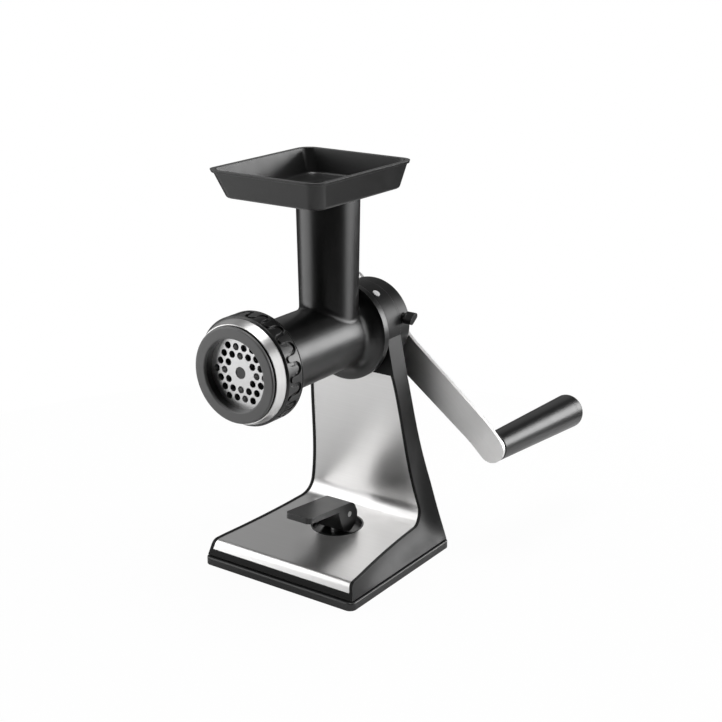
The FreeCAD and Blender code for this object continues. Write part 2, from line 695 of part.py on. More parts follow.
def make_rear_cap():
    outer = cylinder_y(HEAD_RADIUS, HEAD_REAR_Y, CAP_REAR_Y)
    rear_edges = [edge for edge in outer.Edges if edge.BoundBox.YMin > CAP_REAR_Y - TINY]
    outer = outer.makeFillet(CAP_EDGE_RADIUS, rear_edges)
    shape = outer.cut(cylinder_y(CAP_INNER_RADIUS, HEAD_REAR_Y - OVERCUT, CAP_REAR_Y - CAP_WALL))
    shape = shape.cut(cylinder_y(CAP_BUSH_RADIUS, HEAD_REAR_Y, CAP_REAR_Y + OVERCUT))
    boss_start = LOCK_CAM_X + LOCK_CAM_THICKNESS + FREE_GAP
    boss = cylinder_x(LOCK_CAM_RADIUS + LOCK_BOSS_WALL, boss_start, HEAD_RADIUS, LOCK_Y, LOCK_Z)
    shape = shape.fuse(boss.common(outer)).removeSplitter()
    return shape.cut(cylinder_x(LOCK_AXLE_RADIUS + RUNNING_GAP, 0.0, FAR, LOCK_Y, LOCK_Z))


def make_rear_bush():
    start = HEAD_REAR_Y + REAR_BUSH_START
    body = cylinder_y(CAP_BUSH_RADIUS, start, CAP_REAR_Y)
    flange = cylinder_y(CAP_BUSH_FLANGE, start, CAP_REAR_Y - CAP_WALL)
    shape = body.fuse(flange).removeSplitter()
    return shape.cut(cylinder_y(SHAFT_RADIUS + RUNNING_GAP, HEAD_REAR_Y, CAP_REAR_Y + OVERCUT))


def make_front_bush():
    body = cylinder_y(TAIL_BORE, BUSH_FRONT_Y, BUSH_REAR_Y)
    return body.cut(cylinder_y(SHAFT_RADIUS + RUNNING_GAP, BUSH_FRONT_Y - OVERCUT, BUSH_REAR_Y + OVERCUT))


def make_lock_mark():
    head_top = AXIS_Z + HEAD_RADIUS
    disc = cylinder_z(BADGE_RADIUS, head_top - OVERCUT, head_top + BADGE_THICKNESS, y=BADGE_Y)
    disc.rotate(Vector(0, BADGE_Y, AXIS_Z), Vector(0, 1, 0), BADGE_TILT)
    return disc.cut(cylinder_y(HEAD_RADIUS, HEAD_FRONT_Y, HEAD_REAR_Y))


def make_lock_latch():
    axle = cylinder_x(LOCK_AXLE_RADIUS, LOCK_CAM_X, LOCK_WING_X + OVERCUT, LOCK_Y, LOCK_Z)
    cam = cylinder_x(LOCK_CAM_RADIUS, LOCK_CAM_X, LOCK_CAM_X + LOCK_CAM_THICKNESS, LOCK_Y, LOCK_Z)
    half_long = LOCK_WING_LENGTH / 2.0
    half_thick = LOCK_WING_THICKNESS / 2.0
    wing = block(
        LOCK_WING_X, LOCK_WING_X + LOCK_WING_DEPTH, LOCK_Y - half_long, LOCK_Y + half_long,
        LOCK_Z - half_thick, LOCK_Z + half_thick,
    )
    long_edges = [edge for edge in wing.Edges if edge.BoundBox.XLength > LOCK_WING_DEPTH - TINY]
    wing = wing.makeFillet(half_thick - LOCK_EDGE_GAP, long_edges)
    wing.rotate(Vector(0, LOCK_Y, LOCK_Z), Vector(1, 0, 0), LOCK_TILT)
    return axle.fuse([cam, wing]).removeSplitter()


def flange_flare():
    """Hollow curve that widens the barrel to its flange."""
    radius = FLANGE_RADIUS - FLANGE_EDGE - BARREL_RADIUS
    inner = BARREL_RADIUS - OVERCUT
    start_y = FLANGE_FRONT_Y - radius
    turn = math.sqrt(0.5)
    start = Vector(BARREL_RADIUS, start_y, AXIS_Z)
    middle = Vector(BARREL_RADIUS + radius * (1.0 - turn), start_y + radius * turn, AXIS_Z)
    end = Vector(BARREL_RADIUS + radius, FLANGE_FRONT_Y, AXIS_Z)
    rear = Vector(inner, FLANGE_FRONT_Y, AXIS_Z)
    front = Vector(inner, start_y, AXIS_Z)
    edges = [
        Part.Arc(start, middle, end).toShape(), Part.makeLine(end, rear),
        Part.makeLine(rear, front), Part.makeLine(front, start),
    ]
    return Part.Face(Part.Wire(edges)).revolve(Vector(0, 0, AXIS_Z), Vector(0, 1, 0), 360)


def make_grinder_body():
    barrel = turned_y([
        (0.0, MOUTH_FRONT_Y), (MOUTH_RADIUS, MOUTH_FRONT_Y), (MOUTH_RADIUS, MOUTH_REAR_Y),
        (BARREL_RADIUS, MOUTH_CONE_Y), (BARREL_RADIUS, FLANGE_FRONT_Y), (FLANGE_RADIUS, FLANGE_FRONT_Y),
        (FLANGE_RADIUS, FLANGE_REAR_Y), (TAIL_RADIUS, FLANGE_REAR_Y), (TAIL_RADIUS, TAIL_REAR_Y),
        (0.0, TAIL_REAR_Y),
    ])
    barrel_top = AXIS_Z + BARREL_RADIUS
    taper = (TUBE_TOP_RADIUS - TUBE_RADIUS) / (TUBE_TOP_Z - barrel_top)
    root_radius = TUBE_RADIUS - taper * BARREL_RADIUS
    root = Vector(0, TUBE_Y, AXIS_Z)
    tube = Part.makeCone(root_radius, TUBE_TOP_RADIUS, TUBE_TOP_Z - AXIS_Z, root, Vector(0, 0, 1))
    shape = barrel.fuse(tube).removeSplitter()
    saddle = []
    for edge in shape.Edges:
        box = edge.BoundBox
        on_barrel = box.ZMin > AXIS_Z and box.ZMax < barrel_top + OVERCUT
        beside_tube = box.YMin > TUBE_Y - TUBE_RADIUS - OVERCUT and box.YMax < TUBE_Y + TUBE_RADIUS + OVERCUT
        if on_barrel and beside_tube and box.YLength > OVERCUT and box.ZLength > OVERCUT:
            saddle.append(edge)
    shape = shape.makeFillet(SADDLE_RADIUS, saddle)
    shape = shape.fuse(flange_flare()).removeSplitter()
    chamber_front = DISC_FRONT_Y + DISC_THICKNESS
    shape = shape.cut(cylinder_y(DISC_RADIUS, MOUTH_FRONT_Y - OVERCUT, chamber_front))
    shape = shape.cut(cylinder_y(CHAMBER_RADIUS, chamber_front - OVERCUT, CHAMBER_REAR_Y))
    shape = shape.cut(cylinder_y(TAIL_BORE, CHAMBER_REAR_Y - OVERCUT, TAIL_REAR_Y + OVERCUT))
    shape = shape.cut(cylinder_z(TUBE_BORE, AXIS_Z, TUBE_TOP_Z + OVERCUT, y=TUBE_Y))
    key = cylinder_y(DISC_KEY_RADIUS, MOUTH_FRONT_Y, chamber_front, z=AXIS_Z - DISC_RADIUS)
    return shape.fuse(key).removeSplitter()


def make_hole_disc():
    front = DISC_FRONT_Y - OVERCUT
    rear = DISC_FRONT_Y + DISC_THICKNESS
    shape = cylinder_y(DISC_RADIUS - SLIDING_GAP, DISC_FRONT_Y, rear)
    holes = [cylinder_y(SPINDLE_RADIUS + RUNNING_GAP, front, rear + OVERCUT)]
    holes.append(cylinder_y(DISC_KEY_RADIUS + FREE_GAP, front, rear + OVERCUT, z=AXIS_Z - DISC_RADIUS))
    row_step = DISC_HOLE_PITCH * math.sqrt(3.0) / 2.0
    clear_of_spindle = SPINDLE_RADIUS + DISC_HOLE_RADIUS + DISC_WEB
    for row in range(-DISC_ROWS, DISC_ROWS + 1):
        for column in range(-DISC_ROWS - 1, DISC_ROWS + 2):
            x = (column + 0.5 * (row % 2)) * DISC_HOLE_PITCH
            z = row * row_step
            if clear_of_spindle < math.hypot(x, z) < NUT_HOLE_RADIUS - DISC_HOLE_RADIUS:
                holes.append(cylinder_y(DISC_HOLE_RADIUS, front, rear + OVERCUT, x, AXIS_Z + z))
    return shape.cut(holes)


def make_knife():
    front = DISC_FRONT_Y + DISC_THICKNESS + SEAT_GAP
    rear = front + KNIFE_THICKNESS
    hub = cylinder_y(KNIFE_SQUARE, front, rear)
    half = KNIFE_BLADE_WIDTH / 2.0
    corners = [
        (0.0, AXIS_Z - half), (KNIFE_REACH, AXIS_Z - 0.5 * half),
        (KNIFE_REACH, AXIS_Z + half), (0.0, AXIS_Z + half),
    ]
    blades = []
    for step in range(4):
        blade = prism_y(corners, front, rear)
        blade.rotate(Vector(0, 0, AXIS_Z), Vector(0, 1, 0), 45.0 + 90.0 * step)
        blades.append(blade)
    shape = hub.fuse(blades).removeSplitter()
    socket = prism_y(square(KNIFE_SQUARE + 2.0 * RUNNING_GAP), front - OVERCUT, rear + OVERCUT)
    return crank_place(shape.cut(socket))


def make_auger():
    rear = CHAMBER_REAR_Y - FREE_GAP
    flight_radius = CHAMBER_RADIUS - FREE_GAP
    length = rear - AUGER_REAR_PLATE - AUGER_FRONT_Y
    helix = Part.makeHelix(AUGER_PITCH, length - AUGER_FLIGHT_THICKNESS, AUGER_CORE_RADIUS)
    inner = AUGER_CORE_RADIUS - AUGER_ROOT
    half = AUGER_FLIGHT_THICKNESS / 2.0
    edge_half = AUGER_EDGE_SHARE * half
    corners = [
        Vector(inner, 0, -half), Vector(flight_radius, 0, -edge_half),
        Vector(flight_radius, 0, edge_half), Vector(inner, 0, half),
    ]
    profile = Part.makePolygon(corners + corners[:1])
    flight = Part.Wire(helix.Edges).makePipeShell([profile], True, True)
    flight.rotate(Vector(0, 0, 0), Vector(1, 0, 0), -90.0)
    flight.translate(Vector(0, AUGER_FRONT_Y + half, AXIS_Z))
    core = cylinder_y(AUGER_CORE_RADIUS, AUGER_FRONT_Y, rear)
    back_plate = cylinder_y(flight_radius, rear - AUGER_REAR_PLATE, rear)
    knife_front = DISC_FRONT_Y + DISC_THICKNESS + SEAT_GAP
    seat_end = AUGER_FRONT_Y + OVERCUT
    knife_seat = prism_y(square(KNIFE_SQUARE), knife_front + KNIFE_SEAT_START, seat_end)
    spindle = cylinder_y(SPINDLE_RADIUS, DISC_FRONT_Y + SPINDLE_SETBACK, seat_end)
    shape = core.fuse([flight, back_plate, knife_seat, spindle]).removeSplitter()
    socket_front = rear - SHAFT_HEX_LENGTH - SOCKET_END_ROOM
    socket = prism_y(hexagon(SHAFT_HEX + 2.0 * RUNNING_GAP), socket_front, rear + OVERCUT)
    return crank_place(shape.cut(socket))


def groove_turn(radius, floor_radius, level, side):
    """Cutter for one round bend of the meander, on the +X side of the nut.

    The bend is half a ring about (level, axis) that bulges to the front or to the rear by side.
    """
    half = GROOVE_WIDTH / 2.0
    rings = []
    for size in (radius + half, radius - half):
        rings.append(cylinder_x(size, floor_radius, FAR, level, AXIS_Z))
    ring = rings[0].cut(rings[1])
    start, end = (level - FAR, level) if side < 0 else (level, level + FAR)
    return ring.common(block(0.0, FAR, start, end, AXIS_Z - FAR, AXIS_Z + FAR))


def make_ring_nut():
    bore = MOUTH_RADIUS + SLIDING_GAP
    face_rear = NUT_FRONT_Y + NUT_FACE_THICKNESS
    shape = turned_y([
        (NUT_HOLE_RADIUS, face_rear), (NUT_GAP_RADIUS, face_rear), (NUT_GAP_RADIUS, BAND_FRONT_Y),
        (NUT_NECK_RADIUS, BAND_FRONT_Y), (NUT_NECK_RADIUS, GRIP_FRONT_Y), (NUT_FRONT_RADIUS, GRIP_FRONT_Y),
        (NUT_RADIUS, GRIP_FRONT_Y + NUT_FRONT_BEVEL), (NUT_RADIUS, NUT_REAR_Y - NUT_EDGE),
        (NUT_RADIUS - NUT_EDGE, NUT_REAR_Y), (bore, NUT_REAR_Y), (bore, NUT_LIP_REAR_Y),
        (NUT_HOLE_RADIUS, NUT_LIP_REAR_Y),
    ])
    floor_radius = NUT_RADIUS - GROOVE_DEPTH
    half = GROOVE_WIDTH / 2.0
    step_angle = 360.0 / GROOVE_COUNT
    turn_radius = floor_radius * math.sin(math.radians(step_angle / 4.0))
    front_level = GROOVE_FRONT_Y + turn_radius
    rear_level = GROOVE_REAR_Y - turn_radius
    tools = []
    for step in range(GROOVE_COUNT):
        for share, level, side in ((0.0, front_level, -1), (0.5, rear_level, 1)):
            angle = (step + share) * step_angle
            bend = groove_turn(turn_radius, floor_radius, level, side)
            bend.rotate(Vector(0, 0, AXIS_Z), Vector(0, 1, 0), angle)
            leg = block(floor_radius, FAR, front_level, rear_level, AXIS_Z - half, AXIS_Z + half)
            leg.rotate(Vector(0, 0, AXIS_Z), Vector(0, 1, 0), angle + step_angle / 4.0)
            tools += [bend, leg]
    rib_low = NUT_RIB_Y - NUT_RIB_WIDTH / 2.0
    rib_high = NUT_RIB_Y + NUT_RIB_WIDTH / 2.0
    ring = cylinder_y(NUT_RADIUS + OVERCUT, rib_low, rib_high)
    tools.append(ring.cut(cylinder_y(NUT_RADIUS - NUT_RIB_DEPTH, rib_low, rib_high)))
    return shape.cut(tools)


def make_ring_band():
    return turned_y([
        (NUT_NECK_RADIUS, BAND_FRONT_Y), (BAND_FRONT_RADIUS, BAND_FRONT_Y),
        (BAND_REAR_RADIUS, GRIP_FRONT_Y), (NUT_NECK_RADIUS, GRIP_FRONT_Y),
    ])


def make_ring_face():
    rear = NUT_FRONT_Y + NUT_FACE_THICKNESS
    outer = cylinder_y(NUT_FACE_RADIUS, NUT_FRONT_Y, rear)
    outer = outer.cut(cylinder_y(NUT_HOLE_RADIUS, NUT_FRONT_Y - OVERCUT, rear + OVERCUT))
    rims = [edge for edge in outer.Edges if edge.BoundBox.YMax < NUT_FRONT_Y + TINY]
    return outer.makeFillet(NUT_FACE_EDGE, rims)


def tray_loft(inset, z_low, z_high):
    """Tapered block of the tray, inset from its outer walls, between two heights."""
    wires = []
    for z in (z_low, z_high):
        share = (TRAY_TOP_Z - z) / (TRAY_TOP_Z - TRAY_BOTTOM_Z)
        wires.append(rounded_rectangle(
            TRAY_TOP_HALF_WIDTH - share * TRAY_SIDE_TAPER - inset,
            TRAY_TOP_FRONT_Y + share * TRAY_FRONT_TAPER + inset,
            TRAY_TOP_REAR_Y - share * TRAY_REAR_TAPER - inset,
            TRAY_TOP_CORNER - inset,
            z,
        ))
    return Part.makeLoft(wires, True, True)


def make_hopper_tray():
    floor_z = TRAY_BOTTOM_Z + TRAY_WALL
    outer = tray_loft(0.0, TRAY_BOTTOM_Z, TRAY_TOP_Z)
    low_edges = [edge for edge in outer.Edges if edge.BoundBox.ZMax < TRAY_BOTTOM_Z + TINY]
    outer = outer.makeFillet(TRAY_BOTTOM_EDGE, low_edges)
    rim = tray_loft(-TRAY_RIM_OUT, TRAY_TOP_Z - TRAY_RIM_HEIGHT, TRAY_TOP_Z)
    spigot_radius = TUBE_BORE - SLIDING_GAP
    spigot_end = TRAY_BOTTOM_Z - SPIGOT_DEPTH
    spigot = cylinder_z(spigot_radius, spigot_end, TRAY_BOTTOM_Z + OVERCUT, y=TUBE_Y)
    shape = outer.fuse([rim, spigot]).removeSplitter()
    inner = tray_loft(TRAY_WALL, floor_z, TRAY_TOP_Z + OVERCUT)
    floor_edges = [edge for edge in inner.Edges if edge.BoundBox.ZMax < floor_z + TINY]
    inner = inner.makeFillet(TRAY_FLOOR_EDGE, floor_edges)
    drop = cylinder_z(spigot_radius - SPIGOT_WALL, spigot_end - OVERCUT, TRAY_TOP_Z, y=TUBE_Y)
    return shape.cut([inner, drop])


def crank_place(shape):
    """Turn a shape built with the arm along +X to the arm's resting direction."""
    shape.rotate(Vector(0, 0, AXIS_Z), Vector(0, 1, 0), CRANK_ANGLE)
    return shape


def arm_end_y():
    """Y of the arm's front face under the grip, before the crank is turned to rest."""
    return ARM_HUB_Y + ARM_RISE - (CRANK_RADIUS - ARM_BEND_OUT) * math.tan(math.radians(GRIP_LEAN))


def grip_place(shape):
    """Move a shape built along +Y from the arm's rear face onto the arm's end."""
    shape.rotate(Vector(0, 0, 0), Vector(0, 0, 1), -GRIP_LEAN)
    lean = math.radians(GRIP_LEAN)
    shape.translate(Vector(CRANK_RADIUS, arm_end_y(), AXIS_Z))
    shape.translate(Vector(ARM_THICKNESS * math.sin(lean), ARM_THICKNESS * math.cos(lean), 0))
    return crank_place(shape)


def grip_cylinder(radius, start, end):
    """Cylinder along +Y in the grip's own frame."""
    return Part.makeCylinder(radius, end - start, Vector(0, start, 0), Vector(0, 1, 0))


def make_crank_arm():
    lean = math.radians(GRIP_LEAN)
    end = CRANK_RADIUS + ARM_END_HALF_WIDTH + ARM_END_ROOM
    end_y = ARM_HUB_Y + ARM_RISE - (end - ARM_BEND_OUT) * math.tan(lean)
    start = -ARM_TAIL - ARM_END_ROOM
    bend_y = ARM_HUB_Y + ARM_RISE
    front = [(start, ARM_HUB_Y), (ARM_BEND_IN, ARM_HUB_Y), (ARM_BEND_OUT, bend_y), (end, end_y)]
    rear = [
        (start, ARM_HUB_Y + ARM_THICKNESS), (ARM_BEND_IN, ARM_HUB_Y + ARM_THICKNESS),
        (ARM_BEND_OUT, bend_y + ARM_THICKNESS), (end, end_y + ARM_THICKNESS / math.cos(lean)),
    ]
    points = [Vector(x, y, AXIS_Z - FAR / 2.0) for x, y in front + rear[::-1]]
    bent = Part.Face(Part.makePolygon(points + points[:1])).extrude(Vector(0, 0, FAR))
    for bend_side, radius in ((front, ARM_BEND_RADIUS), (rear, ARM_BEND_RADIUS + ARM_THICKNESS)):
        x, y = bend_side[2]
        middle = Vector(x, y, AXIS_Z)
        bend_edges = [edge for edge in bent.Edges if edge.CenterOfMass.distanceToPoint(middle) < TINY]
        bent = bent.makeFillet(radius, bend_edges)

    outline = prism_y(
        [
            (0.0, AXIS_Z - ARM_HUB_HALF_WIDTH), (CRANK_RADIUS, AXIS_Z - ARM_END_HALF_WIDTH),
            (CRANK_RADIUS, AXIS_Z + ARM_END_HALF_WIDTH), (0.0, AXIS_Z + ARM_HUB_HALF_WIDTH),
        ],
        0.0, FAR,
    )
    tail_half = ARM_HUB_HALF_WIDTH - ARM_TAIL_INSET
    tail = block(-ARM_TAIL + tail_half, 0.0, 0.0, FAR, AXIS_Z - tail_half, AXIS_Z + tail_half)
    rounds = [
        cylinder_y(ARM_END_HALF_WIDTH, 0.0, FAR, CRANK_RADIUS),
        cylinder_y(tail_half, 0.0, FAR, -ARM_TAIL + tail_half),
        cylinder_y(ARM_HUB_HALF_WIDTH, 0.0, FAR),
    ]
    shape = bent.common(outline.fuse([tail] + rounds))
    shape = crank_place(shape.cut(prism_y(square(ARM_SQUARE), 0.0, FAR)))
    return shape.cut(grip_place(grip_cylinder(AXLE_RADIUS, -AXLE_SEAT_DEPTH, FAR / 8.0)))


def make_drive_shaft():
    hex_front = CHAMBER_REAR_Y - FREE_GAP - SHAFT_HEX_LENGTH
    hex_end = prism_y(hexagon(SHAFT_HEX), hex_front, CHAMBER_REAR_Y + OVERCUT)
    rod = cylinder_y(SHAFT_RADIUS, CHAMBER_REAR_Y, ARM_HUB_Y)
    arm_seat = prism_y(square(ARM_SQUARE), ARM_HUB_Y - OVERCUT, ARM_HUB_Y + ARM_THICKNESS)
    shape = rod.fuse([hex_end, arm_seat]).removeSplitter()
    shape = shape.cut(cylinder_y(HUB_SCREW_RADIUS, ARM_HUB_Y + ARM_THICKNESS - HUB_SCREW_LENGTH, FAR))
    return crank_place(shape)


def make_thrust_washer():
    washer = cylinder_y(WASHER_RADIUS, CAP_REAR_Y + FREE_GAP, ARM_HUB_Y)
    return washer.cut(cylinder_y(SHAFT_RADIUS, CAP_REAR_Y, FAR))


def make_crank_hub():
    front = ARM_HUB_Y + ARM_THICKNESS
    rear = front + HUB_DEPTH
    shape = cylinder_y(HUB_RADIUS, front, rear)
    rear_edges = [edge for edge in shape.Edges if edge.BoundBox.YMin > rear - TINY]
    shape = shape.makeFillet(HUB_EDGE, rear_edges)
    return shape.cut(cylinder_y(HUB_SCREW_RADIUS, front - OVERCUT, rear + OVERCUT))


def make_hub_screw():
    front = ARM_HUB_Y + ARM_THICKNESS
    seat = front + HUB_DEPTH
    shank = cylinder_y(HUB_SCREW_RADIUS, front - HUB_SCREW_LENGTH, seat)
    head = cylinder_y(HUB_SCREW_HEAD_RADIUS, seat, seat + HUB_SCREW_HEAD_HEIGHT)
    rims = [edge for edge in head.Edges if edge.BoundBox.YMin > seat + HUB_SCREW_HEAD_HEIGHT - TINY]
    head = head.makeFillet(HUB_SCREW_HEAD_HEIGHT / 2.0, rims)
    return shank.fuse(head).removeSplitter()


def make_grip_axle():
    rod = grip_cylinder(AXLE_RADIUS, -AXLE_SEAT_DEPTH, AXLE_LENGTH)
    head = grip_cylinder(AXLE_HEAD_RADIUS, AXLE_LENGTH, AXLE_LENGTH + AXLE_HEAD_HEIGHT)
    return grip_place(rod.fuse(head).removeSplitter())


def make_grip_washer():
    washer = grip_cylinder(GRIP_SMALL_RADIUS - GRIP_WASHER_INSET, 0.0, GRIP_STANDOFF - FREE_GAP)
    return grip_place(washer.cut(grip_cylinder(AXLE_RADIUS, -OVERCUT, GRIP_STANDOFF + OVERCUT)))


def grip_outline():
    """Outer form of the grip: a straight taper to a flat free end with a round edge."""
    edge = GRIP_END_EDGE
    turn = edge * (1.0 - math.sqrt(0.5))
    start = Vector(0, GRIP_STANDOFF, 0)
    inner = Vector(GRIP_SMALL_RADIUS - GRIP_START_EDGE, GRIP_STANDOFF, 0)
    outer = Vector(GRIP_SMALL_RADIUS, GRIP_STANDOFF + GRIP_START_EDGE, 0)
    taper_end = Vector(GRIP_LARGE_RADIUS, GRIP_LENGTH - edge, 0)
    arc_middle = Vector(GRIP_LARGE_RADIUS - turn, GRIP_LENGTH - turn, 0)
    arc_end = Vector(GRIP_LARGE_RADIUS - edge, GRIP_LENGTH, 0)
    end = Vector(0, GRIP_LENGTH, 0)
    edges = [
        Part.makeLine(start, inner), Part.makeLine(inner, outer), Part.makeLine(outer, taper_end),
        Part.Arc(taper_end, arc_middle, arc_end).toShape(), Part.makeLine(arc_end, end),
        Part.makeLine(end, start),
    ]
    return Part.Face(Part.Wire(edges)).revolve(Vector(0, 0, 0), Vector(0, 1, 0), 360)


def make_handle_grip():
    body_end = GRIP_LENGTH - GRIP_CAP_LENGTH
    shape = grip_outline().common(grip_cylinder(FAR / 8.0, 0.0, body_end))
    shape = shape.cut(grip_cylinder(AXLE_RADIUS + RUNNING_GAP, -OVERCUT, body_end + OVERCUT))
    pocket = grip_cylinder(AXLE_HEAD_RADIUS + FREE_GAP, AXLE_LENGTH - FREE_GAP, body_end + OVERCUT)
    return grip_place(shape.cut(pocket))


def make_grip_cap():
    body_end = GRIP_LENGTH - GRIP_CAP_LENGTH
    return grip_place(grip_outline().common(grip_cylinder(FAR / 8.0, body_end, GRIP_LENGTH + OVERCUT)))


PIECES = {
    "foot_rim": make_foot_rim,
    "base_plate": make_base_plate,
    "base_screws": make_base_screws,
    "stand_housing": make_stand_housing,
    "front_sheet": make_front_sheet,
    "rear_cover": make_rear_cover,
    "cover_screws": make_cover_screws,
    "lever_well": make_lever_well,
    "suction_cup": make_suction_cup,
    "suction_stem": make_suction_stem,
    "lever_pin": make_lever_pin,
    "suction_lever": make_suction_lever,
    "socket_ring": make_socket_ring,
    "rear_cap": make_rear_cap,
    "rear_bush": make_rear_bush,
    "front_bush": make_front_bush,
    "lock_mark": make_lock_mark,
    "lock_latch": make_lock_latch,
    "grinder_body": make_grinder_body,
    "hole_disc": make_hole_disc,
    "knife": make_knife,
    "auger": make_auger,
    "ring_nut": make_ring_nut,
    "ring_band": make_ring_band,
    "ring_face": make_ring_face,
    "hopper_tray": make_hopper_tray,
    "drive_shaft": make_drive_shaft,
    "thrust_washer": make_thrust_washer,
    "crank_arm": make_crank_arm,
    "crank_hub": make_crank_hub,
    "hub_screw": make_hub_screw,
    "grip_axle": make_grip_axle,
    "grip_washer": make_grip_washer,
    "handle_grip": make_handle_grip,
    "grip_cap": make_grip_cap,
}

os.makedirs("parts", exist_ok=True)
for name, make in PIECES.items():
    piece = make()
    piece.translate(Vector(0, -ORIGIN_Y, 0))
    if not piece.isValid():
        raise ValueError("piece is not valid: " + name)
    piece.exportStep("parts/" + name + ".step")
    print(name, len(piece.Solids), round(piece.Volume))
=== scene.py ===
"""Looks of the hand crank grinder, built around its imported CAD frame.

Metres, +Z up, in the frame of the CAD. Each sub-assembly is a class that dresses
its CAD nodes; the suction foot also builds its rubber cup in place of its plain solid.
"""

import logging
import math
from dataclasses import dataclass
from enum import Enum
from typing import Tuple

import bmesh
import bpy
import numpy as np
from mathutils import Matrix, Vector


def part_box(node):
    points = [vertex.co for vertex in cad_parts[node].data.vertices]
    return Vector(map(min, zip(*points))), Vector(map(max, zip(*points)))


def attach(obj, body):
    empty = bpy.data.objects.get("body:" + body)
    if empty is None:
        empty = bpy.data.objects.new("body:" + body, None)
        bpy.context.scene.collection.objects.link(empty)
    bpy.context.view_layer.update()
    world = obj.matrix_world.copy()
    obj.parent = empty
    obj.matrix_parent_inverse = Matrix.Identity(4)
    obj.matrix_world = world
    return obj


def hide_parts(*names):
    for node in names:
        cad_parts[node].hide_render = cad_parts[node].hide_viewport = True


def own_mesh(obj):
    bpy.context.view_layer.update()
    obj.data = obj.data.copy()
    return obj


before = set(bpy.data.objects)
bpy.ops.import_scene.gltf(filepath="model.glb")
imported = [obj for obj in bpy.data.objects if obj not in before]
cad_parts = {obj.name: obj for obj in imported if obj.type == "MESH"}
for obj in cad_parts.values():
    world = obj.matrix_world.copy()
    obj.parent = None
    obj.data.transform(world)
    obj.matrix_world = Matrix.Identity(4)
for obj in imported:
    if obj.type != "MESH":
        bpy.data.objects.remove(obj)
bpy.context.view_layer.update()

LOG = logging.getLogger("grinder")

Colour = Tuple[float, float, float, float]
Place = Tuple[float, float, float]
Socket = bpy.types.NodeSocket

WHITE: Colour = (1.0, 1.0, 1.0, 1.0)
EVEN = Vector((1.0, 1.0, 1.0))
UNTURNED = Vector((0.0, 0.0, 0.0))

# Points closer than this, in metres, are one point of a mesh
MERGE_DISTANCE = 1.0e-6
# Samples of each rounded edge
BEVEL_SAMPLES = 4
# Span that values of noise mostly keep to
NOISE_LOW = 0.1
NOISE_HIGH = 0.9
# Cosine between the true and the rounded normal from which an edge counts as sharp
SHARP_EDGE = 0.85
# Angle of the crank arm below the X axis at rest, in degrees
CRANK_ANGLE = 42.0


def grey(level: float) -> Colour:
    """Neutral colour of that linear brightness."""
    return (level, level, level, 1.0)


class Grain(Enum):
    """Direction in which a metal was brushed."""

    ALONG_X = "x"
    ALONG_ARM = "arm"
    ROUND_AXIS = "round"
    ALONG_Y = "y"


